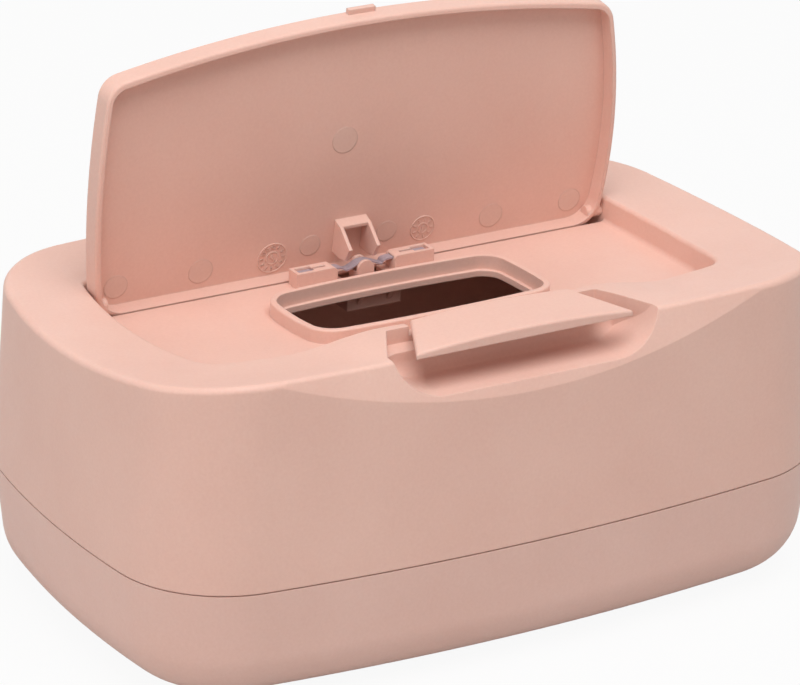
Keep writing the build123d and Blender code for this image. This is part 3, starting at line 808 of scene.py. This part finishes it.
@dataclass
class DateDial:
    """A round insert in the mould: two rings, strokes, a pointer and, if wanted, numbers.

    Attributes:
        inside: The face that it lies on.
        name: Name of the piece.
        x: Place across the lid.
        y: Place along the shut lid.
        radius: Radius of the outer ring.
        strokes: How many strokes stand round it.
        stroke_size: Length and width of a stroke.
        numbered: Whether it carries the numbers of the months.
        pointer_turn: Turn of the pointer, in radians.
        relief: How far the lines stand out of the face.
        ring_shares: Radii of the rings, as shares of the outer one.
        ring_sides: Sides of each ring.
        wire_sides: Sides of the line that a ring is drawn with.
        stroke_share: Radius that the strokes stand at, as a share.
        number_share: Radius that the numbers stand at, as a share.
        number_size: Size of the numbers, as a share of the radius.
        number_curve: Steps in each curve of a number.
        pointer_share: Half the pointer's length, as a share of the radius.
        shaft_share: Half the shaft's width, as a share of half the length.
        head_ratio: Width of the arrow's head next to the shaft's.
        neck_share: Where the head starts, as a share of half the length.
    """

    inside: LidInside
    name: str
    x: float
    y: float
    radius: float
    strokes: int
    stroke_size: tuple[float, float]
    numbered: bool
    pointer_turn: float
    relief: float = 0.00024
    ring_shares: tuple[float, float] = (1.0, 0.42)
    ring_sides: int = 40
    wire_sides: int = 8
    stroke_share: float = 0.72
    number_share: float = 0.74
    number_size: float = 0.36
    number_curve: int = 2
    pointer_share: float = 0.34
    shaft_share: float = 0.2
    head_ratio: float = 2.4
    neck_share: float = 0.2

    def tree(self) -> bpy.types.NodeTree:
        """Builds the tree that makes the rings and sets the strokes round them.

        Returns:
            The tree, with named inputs for the dial's sizes.
        """
        tree = bpy.data.node_groups.new(self.name + "_tree", "GeometryNodeTree")
        named_inputs(
            tree,
            {
                "Radius": "NodeSocketFloat",
                "Strokes": "NodeSocketInt",
                "Stroke Length": "NodeSocketFloat",
                "Stroke Width": "NodeSocketFloat",
                "Relief": "NodeSocketFloat",
                "Finish": "NodeSocketMaterial",
            },
        )
        wiring = Wiring(tree)
        given = wiring.add("NodeGroupInput")
        result = wiring.add("NodeGroupOutput")
        together = wiring.add("GeometryNodeJoinGeometry")
        for share in self.ring_shares:
            ring = wiring.add("GeometryNodeCurvePrimitiveCircle")
            ring.inputs["Resolution"].default_value = self.ring_sides
            wiring.join(wiring.times(given.outputs["Radius"], share), ring.inputs["Radius"])
            profile = wiring.add("GeometryNodeCurvePrimitiveCircle")
            profile.inputs["Resolution"].default_value = self.wire_sides
            wiring.join(given.outputs["Relief"], profile.inputs["Radius"])
            tube = wiring.add("GeometryNodeCurveToMesh")
            wiring.join(ring.outputs["Curve"], tube.inputs["Curve"])
            wiring.join(profile.outputs["Curve"], tube.inputs["Profile Curve"])
            wiring.join(tube.outputs["Mesh"], together.inputs["Geometry"])
        circle = wiring.add("GeometryNodeMeshCircle")
        wiring.join(given.outputs["Strokes"], circle.inputs["Vertices"])
        middle = wiring.times(given.outputs["Radius"], self.stroke_share)
        wiring.join(middle, circle.inputs["Radius"])
        bar_size = wiring.add("ShaderNodeCombineXYZ")
        wiring.join(given.outputs["Stroke Length"], bar_size.inputs["X"])
        wiring.join(given.outputs["Stroke Width"], bar_size.inputs["Y"])
        wiring.join(wiring.times(given.outputs["Relief"], 2.0), bar_size.inputs["Z"])
        bar = wiring.add("GeometryNodeMeshCube")
        wiring.join(bar_size.outputs["Vector"], bar.inputs["Size"])
        outward = wiring.add("FunctionNodeAlignRotationToVector", axis="X", pivot_axis="Z")
        wiring.join(wiring.add("GeometryNodeInputPosition").outputs[0], outward.inputs["Vector"])
        spread = wiring.add("GeometryNodeInstanceOnPoints")
        wiring.join(circle.outputs["Mesh"], spread.inputs["Points"])
        wiring.join(bar.outputs["Mesh"], spread.inputs["Instance"])
        wiring.join(outward.outputs["Rotation"], spread.inputs["Rotation"])
        wiring.join(spread.outputs["Instances"], together.inputs["Geometry"])
        solid = wiring.add("GeometryNodeRealizeInstances")
        wiring.join(together.outputs["Geometry"], solid.inputs["Geometry"])
        finish = wiring.add("GeometryNodeSetMaterial")
        wiring.join(solid.outputs["Geometry"], finish.inputs["Geometry"])
        wiring.join(given.outputs["Finish"], finish.inputs["Material"])
        wiring.join(finish.outputs["Geometry"], result.inputs["Geometry"])
        return tree

    def numbers(self) -> list[bpy.types.Object]:
        """Writes the numbers of the months round the dial.

        Returns:
            One thin solid for each number, set round the origin.
        """
        made = []
        for month in range(1, MONTHS + 1):
            letters = bpy.data.curves.new(f"{self.name}_number_{month}", "FONT")
            letters.body = str(month)
            letters.size = self.radius * self.number_size
            letters.align_x = "CENTER"
            letters.align_y = "CENTER"
            letters.extrude = self.relief
            letters.resolution_u = self.number_curve
            number = plain_mesh(linked(letters.name, letters))
            turn = Matrix.Rotation(math.radians(-MONTH_DEG * month), 4, "Z")
            out = Matrix.Translation((0, self.radius * self.number_share, 0))
            number.data.transform(turn @ out)
            made.append(number)
        return made

    def pointer(self) -> bpy.types.Object:
        """Makes the small arrow in the middle of the dial.

        Returns:
            The arrow as a solid, turned to its month.
        """
        reach = self.radius * self.pointer_share
        shaft = reach * self.shaft_share
        head = self.head_ratio * shaft
        neck = reach * self.neck_share
        outline = [
            (-shaft, -reach),
            (shaft, -reach),
            (shaft, neck),
            (head, neck),
            (0.0, reach),
            (-head, neck),
            (-shaft, neck),
        ]
        arrow = bmesh.new()
        low = [arrow.verts.new((x, y, -self.relief)) for x, y in outline]
        high = [arrow.verts.new((x, y, self.relief)) for x, y in outline]
        arrow.faces.new(high)
        arrow.faces.new(list(reversed(low)))
        for index in range(len(outline)):
            after = (index + 1) % len(outline)
            arrow.faces.new((low[index], low[after], high[after], high[index]))
        mesh = bpy.data.meshes.new(self.name + "_pointer")
        arrow.to_mesh(mesh)
        arrow.free()
        mesh.transform(Matrix.Rotation(self.pointer_turn, 4, "Z"))
        return linked(mesh.name, mesh)

    def build(self, finishes: Finishes) -> bpy.types.Object:
        """Makes the dial and sets it on the lid's inner face.

        Args:
            finishes: The box's finishes.

        Returns:
            The finished piece, riding on the lid.
        """
        piece = linked(self.name, bpy.data.meshes.new(self.name))
        modifier = piece.modifiers.new("dial", "NODES")
        modifier.node_group = self.tree()
        set_input(modifier, "Radius", self.radius)
        set_input(modifier, "Strokes", self.strokes)
        set_input(modifier, "Stroke Length", self.stroke_size[0])
        set_input(modifier, "Stroke Width", self.stroke_size[1])
        set_input(modifier, "Relief", self.relief)
        set_input(modifier, "Finish", finishes.of(Slot.COVER))
        parts = [plain_mesh(piece), self.pointer()]
        if self.numbered:
            parts += self.numbers()
        whole = bmesh.new()
        for part in parts:
            whole.from_mesh(part.data)
        for part in parts[1:]:
            bpy.data.objects.remove(part)
        piece = parts[0]
        whole.to_mesh(piece.data)
        whole.free()
        piece.data.transform(self.inside.place(self.x, self.y))
        dress(piece, finishes.of(Slot.COVER))
        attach(piece, Body.LID.value)
        log.info("%s on the lid's inner face", self.name)
        return piece


@dataclass(frozen=True)
class SoftLamp:
    """A square soft lamp.

    Attributes:
        name: The lamp's name.
        place: Where it hangs.
        side: Side of the square, in metres.
        watts: Its power.
    """

    name: str
    place: tuple[float, float, float]
    side: float
    watts: float

    def hang(self, target: Vector) -> None:
        """Hangs the lamp.

        Args:
            target: What it points at.
        """
        data = bpy.data.lights.new(self.name, "AREA")
        data.size = self.side
        data.energy = self.watts
        lamp = linked(self.name, data)
        lamp.location = self.place
        lamp.rotation_mode = "QUATERNION"
        lamp.rotation_quaternion = (target - Vector(self.place)).to_track_quat("-Z", "Y")


@dataclass
class Studio:
    """The pale floor, the soft lamps, the white surround and the camera.

    Attributes:
        floor_half: Half the floor's side, in metres.
        floor_tone: Colour that the floor throws back at the box.
        floor_glow: Share of plain white in what the camera sees of the floor.
        ambient: Strength of the surround's light on the box.
        white: The colour white.
        lamps: The overhead key lamp, and the weak lamp at the left.
        lamp_target: What the lamps point at.
        camera_place: Where the camera stands, as solved from the photograph.
        camera_right: The direction to the right of its picture.
        camera_up: The direction to the top of its picture.
        lens: Its focal length in millimetres.
        sensor_width: Its sensor's width in millimetres.
        clip: The nearest and farthest that it sees.
    """

    floor_half: float = 6.0
    floor_tone: tuple[float, float, float, float] = (0.60, 0.59, 0.58, 1.0)
    floor_glow: float = 0.93
    ambient: float = 0.42
    white: tuple[float, float, float, float] = (1.0, 1.0, 1.0, 1.0)
    lamps: tuple[SoftLamp, ...] = (
        SoftLamp("key_overhead", (-0.15, -0.5, 1.5), side=1.2, watts=20.0),
        SoftLamp("fill_left", (-1.5, -0.2, 0.6), side=1.0, watts=5.0),
    )
    lamp_target: tuple[float, float, float] = (0.0, 0.0, 0.07)
    camera_place: tuple[float, float, float] = (-0.6640, -1.1548, 0.6289)
    camera_right: tuple[float, float, float] = (0.8706, -0.4918, 0.0150)
    camera_up: tuple[float, float, float] = (0.1771, 0.3416, 0.9230)
    lens: float = 213.14
    sensor_width: float = 36.0
    clip: tuple[float, float] = (0.05, 40.0)

    def floor(self) -> None:
        """Lays the floor, which shows white to the camera and keeps a little shadow."""
        half = self.floor_half
        mesh = bpy.data.meshes.new("floor")
        square = [(-half, -half, 0), (half, -half, 0), (half, half, 0), (-half, half, 0)]
        mesh.from_pydata(square, [], [(0, 1, 2, 3)])
        floor = linked("floor", mesh)
        material = bpy.data.materials.new("pale_floor")
        material.use_nodes = True
        wiring = Wiring(material.node_tree)
        nodes = material.node_tree.nodes
        nodes.remove(nodes["Principled BSDF"])
        matt = wiring.add("ShaderNodeBsdfDiffuse")
        matt.inputs["Color"].default_value = self.floor_tone
        white = wiring.add("ShaderNodeEmission")
        white.inputs["Color"].default_value = self.white
        rays = wiring.add("ShaderNodeLightPath")
        seen = wiring.larger(rays.outputs["Is Camera Ray"], rays.outputs["Is Transmission Ray"])
        mixed = wiring.add("ShaderNodeMixShader")
        wiring.join(wiring.times(seen, self.floor_glow), mixed.inputs["Fac"])
        wiring.join(matt.outputs[0], mixed.inputs[1])
        wiring.join(white.outputs[0], mixed.inputs[2])
        wiring.join(mixed.outputs[0], nodes["Material Output"].inputs["Surface"])
        floor.data.materials.append(material)

    def surround(self) -> None:
        """Makes the world white to the camera and in reflections, and a soft light otherwise."""
        world = bpy.data.worlds.new("surround")
        bpy.context.scene.world = world
        world.use_nodes = True
        nodes = world.node_tree.nodes
        wiring = Wiring(world.node_tree)
        soft = nodes["Background"]
        soft.inputs["Color"].default_value = self.white
        soft.inputs["Strength"].default_value = self.ambient
        white = wiring.add("ShaderNodeBackground")
        white.inputs["Color"].default_value = self.white
        white.inputs["Strength"].default_value = 1.0
        rays = wiring.add("ShaderNodeLightPath")
        seen = wiring.larger(rays.outputs["Is Camera Ray"], rays.outputs["Is Transmission Ray"])
        mixed = wiring.add("ShaderNodeMixShader")
        wiring.join(wiring.larger(seen, rays.outputs["Is Glossy Ray"]), mixed.inputs["Fac"])
        wiring.join(soft.outputs[0], mixed.inputs[1])
        wiring.join(white.outputs[0], mixed.inputs[2])
        wiring.join(mixed.outputs[0], nodes["World Output"].inputs["Surface"])

    def camera(self) -> None:
        """Sets the camera at the photograph's place and angle."""
        right = Vector(self.camera_right).normalized()
        back = right.cross(Vector(self.camera_up)).normalized()
        up = back.cross(right)
        data = bpy.data.cameras.new("camera")
        data.sensor_width = self.sensor_width
        data.lens = self.lens
        data.clip_start, data.clip_end = self.clip
        camera = linked("camera", data)
        turn = Matrix((right, up, back)).transposed().to_4x4()
        camera.matrix_world = Matrix.Translation(self.camera_place) @ turn
        bpy.context.scene.camera = camera

    def build(self) -> None:
        """Sets up the whole studio."""
        self.floor()
        self.surround()
        for lamp in self.lamps:
            lamp.hang(Vector(self.lamp_target))
        self.camera()
        bpy.context.scene.view_settings.view_transform = "Standard"
        log.info("studio ready")


def main() -> None:
    """Builds the box's looks in order."""
    logging.basicConfig(level=logging.INFO, format="%(name)s: %(message)s")
    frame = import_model()
    finishes = Finishes()
    mouldings = [
        Moulding("base_tray", "tray_moulding", Body.BASE, Slot.TRAY),
        Moulding("top_cover", "cover_moulding", Body.COVER, Slot.COVER),
        Moulding("lid", "lid_moulding", Body.LID, Slot.COVER),
        Moulding("push_button", "button_moulding", Body.BUTTON, Slot.COVER),
    ]
    for moulding in mouldings:
        moulding.build(frame, finishes)
    SmallParts().dress(frame, finishes)
    inside = LidInside()
    EjectorMarks(inside).build(finishes)
    dials = [
        DateDial(
            inside,
            "date_dial",
            x=-0.0265,
            y=0.0317,
            radius=0.0050,
            strokes=12,
            stroke_size=(0.0005, 0.0003),
            numbered=True,
            pointer_turn=0.6,
        ),
        DateDial(
            inside,
            "plain_dial",
            x=0.0265,
            y=0.0312,
            radius=0.0042,
            strokes=9,
            stroke_size=(0.0011, 0.0004),
            numbered=False,
            pointer_turn=-0.3,
        ),
    ]
    for dial in dials:
        dial.build(finishes)
    Studio().build()


if __name__ == "__main__":
    main()
